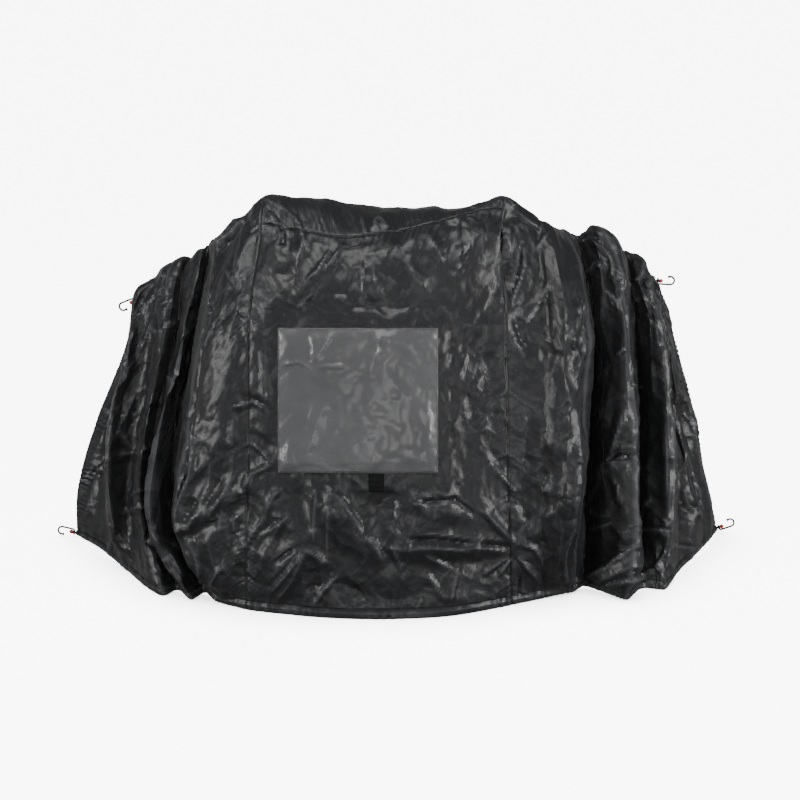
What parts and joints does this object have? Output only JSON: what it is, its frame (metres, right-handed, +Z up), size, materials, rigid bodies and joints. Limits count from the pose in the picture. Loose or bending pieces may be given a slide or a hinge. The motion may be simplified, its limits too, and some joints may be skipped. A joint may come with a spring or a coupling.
{
  "type": "bicycle cover",
  "caption": "Draped cover for bicycles on a rear carrier: pleated coated cloth open at the back and below, clear sign window, corded hooks at the corners.",
  "frame": {"origin": "middle of the bounding box at the height of the lowest hem", "axes": "+X across the cover from its left to its right as seen from the side with the sign window, +Y from the window towards the open back, +Z up"},
  "size_m": [2.2435, 0.7388, 1.1937],
  "materials": {
    "coated_nylon": "black coated nylon, semi-gloss, finely crinkled",
    "clear_sheet": "smoky clear flexible sheet, glossy, faintly wrinkled",
    "webbing": "black woven tape, matt",
    "elastic_cord": "black braided sheath, matt",
    "bead_plastic": "dark red moulded plastic, satin",
    "hook_wire": "graphite coated steel wire with a dipped tip, satin"
  },
  "bodies": {
    "root": {"front_panel": "coated_nylon", "top_panel": "coated_nylon", "left_panel": "coated_nylon", "right_panel": "coated_nylon", "sign_window": "clear_sheet", "closure_tab": "webbing", "cord_stub_lower_left": "elastic_cord", "cord_stub_lower_right": "elastic_cord", "cord_stub_upper_left": "elastic_cord", "cord_stub_upper_right": "elastic_cord", "cord_bead_lower_left": "bead_plastic", "cord_bead_lower_right": "bead_plastic", "cord_bead_upper_left": "bead_plastic", "cord_bead_upper_right": "bead_plastic", "wire_hook_lower_left": "hook_wire", "wire_hook_lower_right": "hook_wire", "wire_hook_upper_left": "hook_wire", "wire_hook_upper_right": "hook_wire"}
  },
  "joints": []
}
